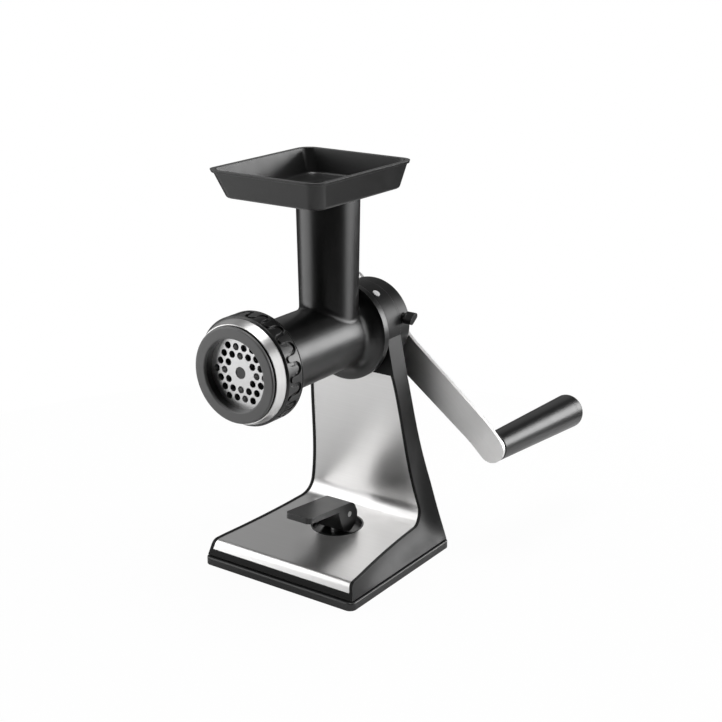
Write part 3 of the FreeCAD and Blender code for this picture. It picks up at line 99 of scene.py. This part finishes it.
class NodeTree:
    """Small helper that adds and links the shader nodes of one material."""

    def __init__(self, name: str) -> None:
        """Make a material that holds one plain shader.

        Args:
            name: name of the material.
        """
        self.material = bpy.data.materials.new(name)
        self.material.use_nodes = True
        self.tree = self.material.node_tree
        self.tree.nodes.clear()
        self.output = self.add("ShaderNodeOutputMaterial")
        self.shader = self.add("ShaderNodeBsdfPrincipled")
        self.link(self.shader.outputs["BSDF"], self.output.inputs["Surface"])

    def add(self, kind: str) -> bpy.types.Node:
        """Add one node of that kind."""
        return self.tree.nodes.new(kind)

    def link(self, source: Socket, target: Socket) -> None:
        """Join two sockets."""
        self.tree.links.new(source, target)

    def coordinates(self, scale: Vector, turn: Vector = UNTURNED) -> Socket:
        """Object coordinates, turned and then stretched.

        Args:
            scale: stretch along each axis, where a larger number gives finer detail.
            turn: rotation in radians about each axis.

        Returns:
            The mapped vector socket.
        """
        place = self.add("ShaderNodeTexCoord")
        turned = self.add("ShaderNodeMapping")
        turned.inputs["Rotation"].default_value = turn
        stretched = self.add("ShaderNodeMapping")
        stretched.inputs["Scale"].default_value = scale
        self.link(place.outputs["Object"], turned.inputs["Vector"])
        self.link(turned.outputs["Vector"], stretched.inputs["Vector"])
        return stretched.outputs["Vector"]

    def noise(self, vector: Socket, scale: float, detail: float) -> Socket:
        """Noise value between 0 and 1.

        Args:
            vector: mapped coordinates.
            scale: spots per unit of those coordinates.
            detail: number of finer layers on top.

        Returns:
            The value socket.
        """
        texture = self.add("ShaderNodeTexNoise")
        texture.inputs["Scale"].default_value = scale
        texture.inputs["Detail"].default_value = detail
        self.link(vector, texture.inputs["Vector"])
        return texture.outputs["Fac"]

    def remap(
        self, value: Socket, low: float, high: float, start: float = NOISE_LOW, end: float = NOISE_HIGH,
    ) -> Socket:
        """Move a value from one span onto another, clamped to it.

        Args:
            value: value socket.
            low: result at the start of the first span.
            high: result at the end of the first span.
            start: start of the first span.
            end: end of the first span.

        Returns:
            The moved value socket.
        """
        node = self.add("ShaderNodeMapRange")
        node.inputs["From Min"].default_value = start
        node.inputs["From Max"].default_value = end
        node.inputs["To Min"].default_value = low
        node.inputs["To Max"].default_value = high
        self.link(value, node.inputs["Value"])
        return node.outputs["Result"]

    def mix(self, share: Socket) -> bpy.types.Node:
        """Add a node that mixes two colours.

        Args:
            share: value socket with the share of the second colour.

        Returns:
            The node, with its colours A and B still to be set.
        """
        node = self.add("ShaderNodeMix")
        node.data_type = "RGBA"
        self.link(share, node.inputs["Factor"])
        return node

    def blend(self, share: Socket, first: Colour, second: Colour) -> Socket:
        """Colour between two colours.

        Args:
            share: value socket with the share of the second colour.
            first: colour at share 0.
            second: colour at share 1.

        Returns:
            The colour socket.
        """
        node = self.mix(share)
        node.inputs["A"].default_value = first
        node.inputs["B"].default_value = second
        return node.outputs["Result"]

    def overlay(self, share: Socket, under: Socket, over: Colour) -> Socket:
        """Lay a colour over another.

        Args:
            share: value socket with the share of the upper colour.
            under: socket of the lower colour.
            over: upper colour.

        Returns:
            The colour socket.
        """
        node = self.mix(share)
        self.link(under, node.inputs["A"])
        node.inputs["B"].default_value = over
        return node.outputs["Result"]

    def rounded_normal(self, radius: float) -> Socket:
        """Surface normal with its hard edges rounded.

        Args:
            radius: radius of the rounding in metres.

        Returns:
            The normal socket.
        """
        bevel = self.add("ShaderNodeBevel")
        bevel.samples = BEVEL_SAMPLES
        bevel.inputs["Radius"].default_value = radius
        return bevel.outputs["Normal"]

    def edge_mask(self, radius: float, lit_share: float) -> Socket:
        """Share of painted edge highlight at a point, from how far a rounded normal leaves the true one.

        Args:
            radius: width of the edge in metres.
            lit_share: share of the painted highlight on a sharp edge.

        Returns:
            A value socket from 0 on flats to the painted highlight's share on sharp edges.
        """
        place = self.add("ShaderNodeNewGeometry")
        dot = self.add("ShaderNodeVectorMath")
        dot.operation = "DOT_PRODUCT"
        self.link(self.rounded_normal(radius), dot.inputs[0])
        self.link(place.outputs["Normal"], dot.inputs[1])
        return self.remap(dot.outputs["Value"], lit_share, 0.0, SHARP_EDGE, 1.0)

    def bump(self, height: Socket, distance: float, strength: float, rounding: float) -> None:
        """Give the shader a bumped normal with rounded edges.

        Args:
            height: value socket with the relief.
            distance: height of the relief in metres.
            strength: share of the relief that shows.
            rounding: radius in metres by which hard edges are rounded.
        """
        node = self.add("ShaderNodeBump")
        node.inputs["Distance"].default_value = distance
        node.inputs["Strength"].default_value = strength
        self.link(height, node.inputs["Height"])
        self.link(self.rounded_normal(rounding), node.inputs["Normal"])
        self.link(node.outputs["Normal"], self.shader.inputs["Normal"])


@dataclass(frozen=True)
class MouldedPlastic:
    """Satin moulded plastic with a fine grain, faint cloudiness and a painted highlight, a paler colour,
    along its sharp edges.

    The roughness stays above 0.28 everywhere, because a denoiser may treat smoother spots
    apart and draw their outlines.

    Attributes:
        name: name of the material.
        colour: colour of its paler clouds.
        shade: colour of its darker clouds.
        edge: colour of the painted highlight on sharp edges.
        roughness: middle roughness.
        roughness_spread: how far the roughness strays to either side.
        relief: height of the grain in metres.
        relief_share: share of the grain that shows.
        edge_radius: width of the rounded edges and of their painted highlight in metres.
        edge_highlight_share: share of the painted highlight colour on a sharp edge.
        gloss: strength of the reflection.
        dark_lip: whether faces that look up or forward are duller.
        lip_gloss: strength of the reflection on those faces.
        lip_span: sideways share of the normal at which they start and stop being dull.
        cloud_scale, smear_scale, grain_scale: fineness of the colour, the gloss and the grain.
        cloud_detail, fine_detail: layers of noise in the colour, and in the gloss and the grain.
    """

    name: str
    colour: Colour
    shade: Colour
    edge: Colour
    roughness: float = 0.40
    roughness_spread: float = 0.04
    relief: float = 0.00001
    relief_share: float = 0.2
    edge_radius: float = 0.0006
    edge_highlight_share: float = 0.75
    gloss: float = 0.62
    dark_lip: bool = False
    lip_gloss: float = 0.15
    lip_span: Tuple[float, float] = (0.3, 0.7)
    cloud_scale: float = 28.0
    smear_scale: float = 90.0
    grain_scale: float = 1800.0
    cloud_detail: float = 4.0
    fine_detail: float = 2.0

    def dull_lip(self, nodes: NodeTree) -> None:
        """Make faces that look up or forward duller than those that look sideways.

        Args:
            nodes: node tree of the material.
        """
        place = nodes.add("ShaderNodeNewGeometry")
        split = nodes.add("ShaderNodeSeparateXYZ")
        sideways = nodes.add("ShaderNodeMath")
        sideways.operation = "ABSOLUTE"
        nodes.link(place.outputs["True Normal"], split.inputs["Vector"])
        nodes.link(split.outputs["X"], sideways.inputs[0])
        gloss = nodes.remap(sideways.outputs["Value"], self.lip_gloss, self.gloss, *self.lip_span)
        nodes.link(gloss, nodes.shader.inputs["Specular IOR Level"])

    def material(self) -> bpy.types.Material:
        """Build the node material of this plastic.

        Returns:
            The material.
        """
        nodes = NodeTree(self.name)
        even = nodes.coordinates(EVEN)
        cloud = nodes.noise(even, self.cloud_scale, self.cloud_detail)
        base = nodes.blend(nodes.remap(cloud, 0.0, 1.0), self.shade, self.colour)
        # Painted highlight: a paler colour laid over the sharp edges.
        highlighted = nodes.overlay(nodes.edge_mask(self.edge_radius, self.edge_highlight_share), base, self.edge)
        nodes.link(highlighted, nodes.shader.inputs["Base Color"])
        smear = nodes.noise(even, self.smear_scale, self.fine_detail)
        smoothest = self.roughness - self.roughness_spread
        roughest = self.roughness + self.roughness_spread
        nodes.link(nodes.remap(smear, smoothest, roughest), nodes.shader.inputs["Roughness"])
        nodes.shader.inputs["Specular IOR Level"].default_value = self.gloss
        if self.dark_lip:
            self.dull_lip(nodes)
        grain = nodes.noise(even, self.grain_scale, self.fine_detail)
        nodes.bump(grain, self.relief, self.relief_share, self.edge_radius)
        return nodes.material


@dataclass(frozen=True)
class BrushedSteel:
    """Stainless steel with fine parallel scratches, which handling made uneven in gloss.

    Attributes:
        name: name of the material.
        grain: direction of the brushing.
        colour: colour of its paler scratches.
        shade: colour of its darker scratches.
        roughness: usual roughness.
        arm_turn: angle of the crank arm below the X axis in radians.
        smoother, rougher: how far the roughness strays to either side.
        edge: colour of the painted highlight on sharp edges.
        edge_radius: width of the painted edge highlight in metres.
        edge_highlight_share: share of the painted highlight colour on a sharp edge.
        across, along: fineness of the scratches across and along the brushing.
        scratch_detail: layers of noise in the scratches.
        handled_scale: fineness of the uneven gloss.
        handled_detail: layers of noise in the uneven gloss.
        relief: depth of the scratches in metres.
        relief_share: share of that depth that shows.
        rounding: radius of rounded edges in metres.
    """

    name: str
    grain: Grain
    colour: Colour = (0.78, 0.775, 0.77, 1.0)
    shade: Colour = (0.73, 0.725, 0.72, 1.0)
    roughness: float = 0.33
    arm_turn: float = 0.0
    smoother: float = 0.03
    rougher: float = 0.05
    edge: Colour = grey(0.80)
    edge_radius: float = 0.0004
    edge_highlight_share: float = 0.6
    across: float = 900.0
    along: float = 9.0
    scratch_detail: float = 4.0
    handled_scale: float = 40.0
    handled_detail: float = 3.0
    relief: float = 0.00002
    relief_share: float = 0.12
    rounding: float = 0.0003

    def stretch(self) -> Tuple[Vector, Vector]:
        """Stretch and turn of the scratches.

        Returns:
            Scale of each axis, fine across the brushing, and the turn before it.
        """
        along_x = Vector((self.along, self.across, self.across))
        if self.grain is Grain.ALONG_ARM:
            return along_x, Vector((0.0, -self.arm_turn, 0.0))
        if self.grain is Grain.ROUND_AXIS:
            return Vector((self.along, self.across, self.along)), UNTURNED
        if self.grain is Grain.ALONG_Y:
            return Vector((self.across, self.along, self.across)), UNTURNED
        return along_x, UNTURNED

    def material(self) -> bpy.types.Material:
        """Build the node material of this steel.

        Returns:
            The material.
        """
        nodes = NodeTree(self.name)
        scale, turn = self.stretch()
        scratch = nodes.noise(nodes.coordinates(scale, turn), 1.0, self.scratch_detail)
        base = nodes.blend(nodes.remap(scratch, 0.0, 1.0), self.shade, self.colour)
        # Painted highlight: a paler colour laid over the sharp edges.
        highlighted = nodes.overlay(nodes.edge_mask(self.edge_radius, self.edge_highlight_share), base, self.edge)
        nodes.link(highlighted, nodes.shader.inputs["Base Color"])
        nodes.shader.inputs["Metallic"].default_value = 1.0
        handled = nodes.noise(nodes.coordinates(EVEN), self.handled_scale, self.handled_detail)
        smoothest = self.roughness - self.smoother
        roughest = self.roughness + self.rougher
        nodes.link(nodes.remap(handled, smoothest, roughest), nodes.shader.inputs["Roughness"])
        nodes.bump(scratch, self.relief, self.relief_share, self.rounding)
        return nodes.material


@dataclass(frozen=True)
class SoftRubber:
    """Matt rubber with a dusty bloom.

    Attributes:
        name: name of the material.
        colour: colour of the bare rubber.
        bloom: colour under the most dust.
        smoothest, roughest: roughness of bare and of dusty rubber.
        dust_scale, grain_scale: fineness of the dust and of the grain.
        dust_detail, grain_detail: layers of noise in them.
        relief: height of the grain in metres.
        relief_share: share of the grain that shows.
        rounding: radius of rounded edges in metres.
    """

    name: str
    colour: Colour
    bloom: Colour
    smoothest: float = 0.62
    roughest: float = 0.78
    dust_scale: float = 120.0
    grain_scale: float = 1400.0
    dust_detail: float = 5.0
    grain_detail: float = 2.0
    relief: float = 0.00003
    relief_share: float = 0.3
    rounding: float = 0.0005

    def material(self) -> bpy.types.Material:
        """Build the node material of this rubber.

        Returns:
            The material.
        """
        nodes = NodeTree(self.name)
        even = nodes.coordinates(EVEN)
        dust = nodes.noise(even, self.dust_scale, self.dust_detail)
        base = nodes.blend(nodes.remap(dust, 0.0, 1.0), self.colour, self.bloom)
        nodes.link(base, nodes.shader.inputs["Base Color"])
        nodes.link(nodes.remap(dust, self.smoothest, self.roughest), nodes.shader.inputs["Roughness"])
        grain = nodes.noise(even, self.grain_scale, self.grain_detail)
        nodes.bump(grain, self.relief, self.relief_share, self.rounding)
        return nodes.material


class Finishes:
    """All finishes of the grinder, each made once."""

    def __init__(self, arm_turn: float) -> None:
        """Make the materials.

        Args:
            arm_turn: angle in radians of the crank arm below the X axis.
        """
        # The third colour of each plastic is its painted highlight on sharp edges.
        self.housing = MouldedPlastic(
            "black_plastic", grey(0.003), grey(0.002), grey(0.04), 0.33,
        ).material()
        self.stand = MouldedPlastic(
            "stand_plastic", grey(0.008), grey(0.006), grey(0.10), 0.42, gloss=0.34, dark_lip=True,
        ).material()
        self.grip = MouldedPlastic(
            "grip_plastic", grey(0.006), grey(0.004), grey(0.03), 0.33, relief=0.000006,
        ).material()
        self.tray = MouldedPlastic(
            "tray_plastic", grey(0.015), grey(0.011), grey(0.07), 0.34, gloss=0.5,
        ).material()
        self.ring = MouldedPlastic(
            "ring_face_plastic", grey(0.085), grey(0.072), grey(0.18), 0.42,
        ).material()
        self.foot = MouldedPlastic(
            "foot_plastic", grey(0.010), grey(0.007), grey(0.06), 0.36,
        ).material()
        self.mark = MouldedPlastic(
            "pale_mark_plastic", grey(0.72), grey(0.66), grey(0.80), 0.45,
        ).material()
        self.bearing = MouldedPlastic(
            "bearing_plastic", (0.62, 0.60, 0.52, 1.0), (0.56, 0.54, 0.46, 1.0), (0.70, 0.68, 0.60, 1.0),
        ).material()
        self.rubber = SoftRubber("suction_rubber", grey(0.016), grey(0.045)).material()
        self.sheet = BrushedSteel("sheet_steel", Grain.ALONG_X).material()
        self.arm = BrushedSteel(
            "arm_steel", Grain.ALONG_ARM, roughness=0.42, arm_turn=arm_turn,
        ).material()
        self.band = BrushedSteel("band_steel", Grain.ROUND_AXIS, roughness=0.32).material()
        self.plain = BrushedSteel("plain_steel", Grain.ALONG_Y, grey(0.58), grey(0.50), 0.38).material()


def dress(material: bpy.types.Material, *names: str) -> None:
    """Give CAD nodes a finish through their material slots.

    Args:
        material: the finish.
        names: CAD node names.
    """
    for name in names:
        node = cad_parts[name]
        for slot in node.material_slots:
            slot.material = material
        LOG.info("dressed %s in %s", name, material.name)


def surface_object(name: str, grid: np.ndarray, material: bpy.types.Material) -> bpy.types.Object:
    """Make a smooth mesh object from a stack of closed rings.

    Each cell between two neighbouring rings becomes one face, and the last column of points
    joins the first.

    Args:
        name: name of the object.
        grid: points as an array of rings, points in a ring and three coordinates.
        material: its finish.

    Returns:
        The linked object, at the origin.
    """
    rings, around, _ = grid.shape
    index = np.arange(rings * around).reshape(rings, around)
    following = np.roll(index, -1, axis=1)
    quads = np.stack([index[:-1], following[:-1], following[1:], index[1:]], axis=-1)
    mesh = bpy.data.meshes.new(name)
    mesh.from_pydata(grid.reshape(-1, 3).tolist(), [], quads.reshape(-1, 4).tolist())
    merged = bmesh.new()
    merged.from_mesh(mesh)
    bmesh.ops.remove_doubles(merged, verts=merged.verts, dist=MERGE_DISTANCE)
    bmesh.ops.recalc_face_normals(merged, faces=merged.faces)
    merged.to_mesh(mesh)
    merged.free()
    mesh.polygons.foreach_set("use_smooth", np.ones(len(mesh.polygons), dtype=bool))
    mesh.materials.append(material)
    thing = bpy.data.objects.new(name, mesh)
    bpy.context.collection.objects.link(thing)
    LOG.info("built %s with %d faces", name, len(mesh.polygons))
    return thing


@dataclass
class StandAssembly:
    """Foot, housing, steel sheet, rear cover and head of the stand."""

    finishes: Finishes

    def dress(self) -> None:
        """Finish the stand's CAD nodes."""
        dress(self.finishes.foot, "foot_rim", "base_plate")
        dress(self.finishes.stand, "stand_housing", "rear_cover", "rear_cap")
        dress(self.finishes.housing, "socket_ring", "lever_well")
        dress(self.finishes.sheet, "front_sheet")
        dress(self.finishes.plain, "base_screws", "cover_screws")
        dress(self.finishes.bearing, "front_bush", "rear_bush")
        dress(self.finishes.mark, "lock_mark")
        dress(self.finishes.tray, "lock_latch")


@dataclass
class SuctionAssembly:
    """Lever, pin, stem and rubber cup of the suction foot.

    Lengths are in metres, heights are above the underside of the foot.

    Attributes:
        finishes: the finishes to use.
        around: points in each ring of the cup.
        steps: points along each stretch of the cup's section.
        ring_count: number of rings on the underside.
        ring_height: height of those rings at the middle.
        dome_height: height of the underside at the middle.
        seal_width: width of the flat seal at the lip.
        lip_height: height of the lip's outer wall.
        shoulder_height: height of the shoulder behind the lip.
        shoulder_outset: how far the shoulder's outer edge lies inside the lip.
        shoulder_inset: how far the shoulder's inner edge lies inside the lip.
        trough_height: height of the trough between shoulder and neck.
        neck_radius: radius of the neck at the stem.
        neck_flare: how much wider the neck is in the trough.
        flat_kept: share of the cup's height that is left when the stem is down; not used.
    """

    finishes: Finishes
    around: int = 96
    steps: int = 14
    ring_count: int = 5
    ring_height: float = 0.0005
    dome_height: float = 0.0026
    seal_width: float = 0.0012
    lip_height: float = 0.0016
    shoulder_height: float = 0.0058
    shoulder_outset: float = 0.0033
    shoulder_inset: float = 0.0090
    trough_height: float = 0.0038
    neck_radius: float = 0.009
    neck_flare: float = 0.0027
    flat_kept: float = 0.5

    def dress(self) -> None:
        """Finish the suction foot's CAD nodes and build its rubber cup."""
        dress(self.finishes.grip, "suction_lever")
        dress(self.finishes.plain, "lever_pin", "suction_stem")
        self.build_cup()

    def cup_profile(self, lip: float, height: float) -> np.ndarray:
        """Half section of the cup, from the middle of its underside round to the middle of its top.

        The underside is a shallow dome, which falls with the square of the radius, plus a cosine
        ripple that fades out towards the lip. Straight lines follow: a flat seal, an upright lip, a
        wall that leans in to the shoulder, a trough with a flat floor, and a neck.

        Args:
            lip: radius of the sealing lip.
            height: height of the neck's top.

        Returns:
            Points as an array of radius and height.
        """
        share = np.linspace(0.0, 1.0, self.steps * self.ring_count)
        dome = self.dome_height * (1.0 - share ** 2)
        ripple = 0.5 * self.ring_height * (1.0 - np.cos(2.0 * np.pi * self.ring_count * share))
        underside = np.stack([share * (lip - self.seal_width), dome + ripple * (1.0 - share)], axis=1)
        corners = np.array([
            [lip, 0.0],
            [lip, self.lip_height],
            [lip - self.shoulder_outset, self.shoulder_height],
            [lip - self.shoulder_inset, self.shoulder_height],
            [lip - self.shoulder_inset, self.trough_height],
            [self.neck_radius + self.neck_flare, self.trough_height],
            [self.neck_radius, self.shoulder_height],
            [self.neck_radius, height],
            [0.0, height],
        ])
        along = np.linspace(0.0, len(corners) - 1.0, self.steps * (len(corners) - 1) + 1)
        places = np.arange(len(corners))
        outside = np.stack([np.interp(along, places, corners[:, axis]) for axis in (0, 1)], axis=1)
        return np.concatenate([underside, outside])

    def build_cup(self) -> None:
        """Turn the cup's half section about the stem's axis, in place of its plain solid."""
        low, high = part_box("suction_cup")
        profile = self.cup_profile((high.x - low.x) / 2.0, high.z)
        angle = np.linspace(0.0, 2.0 * np.pi, self.around, endpoint=False)
        radius, height = profile[:, :1], profile[:, 1:]
        grid = np.stack([
            (low.x + high.x) / 2.0 + radius * np.cos(angle),
            (low.y + high.y) / 2.0 + radius * np.sin(angle),
            height + np.zeros_like(angle),
        ], axis=-1)
        cup = surface_object("suction_cup_rubber", grid, self.finishes.rubber)
        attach(cup, "stand")
        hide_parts("suction_cup")
        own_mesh(cup)


@dataclass
class GrinderAssembly:
    """Grinder body with its screw, knife, disc and tray."""

    finishes: Finishes

    def dress(self) -> None:
        """Finish the grinder's CAD nodes."""
        dress(self.finishes.housing, "grinder_body")
        dress(self.finishes.tray, "hopper_tray", "auger")
        dress(self.finishes.plain, "hole_disc", "knife")


@dataclass
class RingNutAssembly:
    """Grip ring, steel band and front ring around the outlet."""

    finishes: Finishes

    def dress(self) -> None:
        """Finish the ring nut's CAD nodes."""
        dress(self.finishes.grip, "ring_nut")
        dress(self.finishes.band, "ring_band")
        dress(self.finishes.ring, "ring_face")


@dataclass
class CrankAssembly:
    """Crank arm, hub, shaft and the turning grip."""

    finishes: Finishes

    def dress(self) -> None:
        """Finish the crank's CAD nodes."""
        dress(self.finishes.arm, "crank_arm")
        dress(self.finishes.housing, "crank_hub")
        dress(self.finishes.grip, "handle_grip", "grip_cap")
        dress(self.finishes.plain, "drive_shaft", "thrust_washer", "hub_screw")
        dress(self.finishes.plain, "grip_axle", "grip_washer")


@dataclass(frozen=True)
class SoftBox:
    """Flat rectangular lamp: its place, width and height in metres and its power in watts."""

    name: str
    place: Place
    width: float
    height: float
    power: float

    def build(self, aim: Place) -> None:
        """Make the lamp and point it at a place.

        Args:
            aim: place that the lamp points at.
        """
        data = bpy.data.lights.new(self.name, "AREA")
        data.shape = "RECTANGLE"
        data.size = self.width
        data.size_y = self.height
        data.energy = self.power
        lamp = bpy.data.objects.new(self.name, data)
        toward = Vector(aim) - Vector(self.place)
        lamp.rotation_euler = toward.to_track_quat("-Z", "Y").to_euler()
        lamp.location = self.place
        bpy.context.collection.objects.link(lamp)


def split_rays(
    tree: bpy.types.NodeTree, output: str, common: bpy.types.Node, shown: bpy.types.Node, share: float,
) -> None:
    """Show one shader to the camera and light the grinder with another.

    Args:
        tree: node tree to add to.
        output: kind of its output node.
        common: shader for rays that don't come straight from the camera.
        shown: shader for rays that do.
        share: share of the second shader in what the camera sees.
    """
    path = tree.nodes.new("ShaderNodeLightPath")
    seen = tree.nodes.new("ShaderNodeMath")
    seen.operation = "MULTIPLY"
    seen.inputs[1].default_value = share
    mix = tree.nodes.new("ShaderNodeMixShader")
    tree.links.new(path.outputs["Is Camera Ray"], seen.inputs[0])
    tree.links.new(seen.outputs["Value"], mix.inputs["Fac"])
    tree.links.new(common.outputs[0], mix.inputs[1])
    tree.links.new(shown.outputs[0], mix.inputs[2])
    tree.links.new(mix.outputs["Shader"], tree.nodes.new(output).inputs["Surface"])


@dataclass
class Studio:
    """Round white table, white surroundings and soft lamps.

    Attributes:
        table_radius: radius of the table in metres.
        table_around: points in each of its circles.
        table_circles: number of its circles, with its middle.
        table_drop: how far it lies below the foot, so that the two faces don't meet.
        floor_colour: colour of the table in what lights the grinder.
        floor_glow: share of pure white in what the camera sees of the table.
        world_light: strength of the light from all round.
        lamps: the soft lamps.
        aim: place that the lamps point at.
    """

    table_radius: float = 0.44
    table_around: int = 96
    table_circles: int = 9
    table_drop: float = 0.0003
    floor_colour: Colour = grey(0.76)
    floor_glow: float = 0.96
    world_light: float = 0.04
    lamps: Tuple[SoftBox, ...] = (
        SoftBox("left_softbox", (-1.12, -0.68, 0.25), 1.3, 1.8, 18.0),
        SoftBox("right_softbox", (1.13, 0.65, 0.25), 0.7, 1.7, 9.0),
        SoftBox("rear_softbox", (0.71, 1.01, 0.34), 0.8, 0.5, 9.0),
        SoftBox("high_softbox", (-0.76, -0.44, 1.30), 0.6, 0.6, 3.0),
        SoftBox("top_softbox", (0.05, 0.05, 1.60), 0.8, 0.8, 16.0),
        SoftBox("back_panel", (-1.03, 1.48, 0.90), 2.0, 1.4, 2.6),
    )
    aim: Place = (0.0, 0.05, 0.14)

    def build_world(self) -> None:
        """Make surroundings that are white to the camera and give only a dim light."""
        world = bpy.data.worlds.new("studio_white")
        world.use_nodes = True
        tree = world.node_tree
        tree.nodes.clear()
        light = tree.nodes.new("ShaderNodeBackground")
        light.inputs["Color"].default_value = WHITE
        light.inputs["Strength"].default_value = self.world_light
        white = tree.nodes.new("ShaderNodeBackground")
        white.inputs["Color"].default_value = WHITE
        split_rays(tree, "ShaderNodeOutputWorld", light, white, 1.0)
        bpy.context.scene.world = world

    def build_floor(self) -> None:
        """Make a white table that keeps a soft shadow: circles of growing radius round the origin."""
        radius = np.linspace(0.0, self.table_radius, self.table_circles)[:, None]
        angle = np.linspace(0.0, 2.0 * np.pi, self.table_around, endpoint=False)
        level = np.full((len(radius), len(angle)), -self.table_drop)
        grid = np.stack([radius * np.cos(angle), radius * np.sin(angle), level], axis=-1)
        material = bpy.data.materials.new("studio_floor")
        material.use_nodes = True
        tree = material.node_tree
        tree.nodes.clear()
        matt = tree.nodes.new("ShaderNodeBsdfDiffuse")
        matt.inputs["Color"].default_value = self.floor_colour
        glow = tree.nodes.new("ShaderNodeEmission")
        split_rays(tree, "ShaderNodeOutputMaterial", matt, glow, self.floor_glow)
        surface_object("studio_floor", grid, material)

    def build(self) -> None:
        """Build the world, the floor and the lamps."""
        self.build_world()
        self.build_floor()
        for lamp in self.lamps:
            lamp.build(self.aim)
        bpy.context.scene.view_settings.view_transform = "Standard"


@dataclass
class PhotoCamera:
    """Camera at the photograph's place, found from the edges of the grinder.

    Attributes:
        place: place of the camera in metres.
        azimuth: angle of its place from the front towards +X in degrees.
        elevation: angle by which it looks down in degrees.
        focal_pixels: focal length in pixels of the photograph.
        image_pixels: width of the photograph in pixels.
        sensor: width of the sensor in millimetres.
        reach: distance in metres up to which it sees.
    """

    place: Place = (0.5563, -0.6977, 0.4578)
    azimuth: float = 34.93
    elevation: float = 18.24
    focal_pixels: float = 1415.0
    image_pixels: float = 722.0
    sensor: float = 36.0
    reach: float = 20.0

    def build(self) -> None:
        """Make the camera and set it as the scene's own."""
        data = bpy.data.cameras.new("photo_camera")
        data.sensor_width = self.sensor
        data.lens = self.focal_pixels / self.image_pixels * self.sensor
        data.clip_end = self.reach
        azimuth = math.radians(self.azimuth)
        elevation = math.radians(self.elevation)
        level = math.cos(elevation)
        back = Vector((math.sin(azimuth) * level, -math.cos(azimuth) * level, math.sin(elevation)))
        right = Vector((math.cos(azimuth), math.sin(azimuth), 0.0))
        upward = back.cross(right)
        camera = bpy.data.objects.new("photo_camera", data)
        turned = Matrix((right, upward, back)).transposed().to_4x4()
        camera.matrix_world = Matrix.Translation(self.place) @ turned
        bpy.context.collection.objects.link(camera)
        bpy.context.scene.camera = camera


def main() -> None:
    """Build and dress every sub-assembly, then the studio and the camera."""
    logging.basicConfig(level=logging.INFO, format="%(name)s: %(message)s")
    finishes = Finishes(arm_turn=math.radians(CRANK_ANGLE))
    for assembly in (
        StandAssembly(finishes), SuctionAssembly(finishes), GrinderAssembly(finishes),
        RingNutAssembly(finishes), CrankAssembly(finishes),
    ):
        assembly.dress()
    Studio().build()
    PhotoCamera().build()


if __name__ == "__main__":
    main()
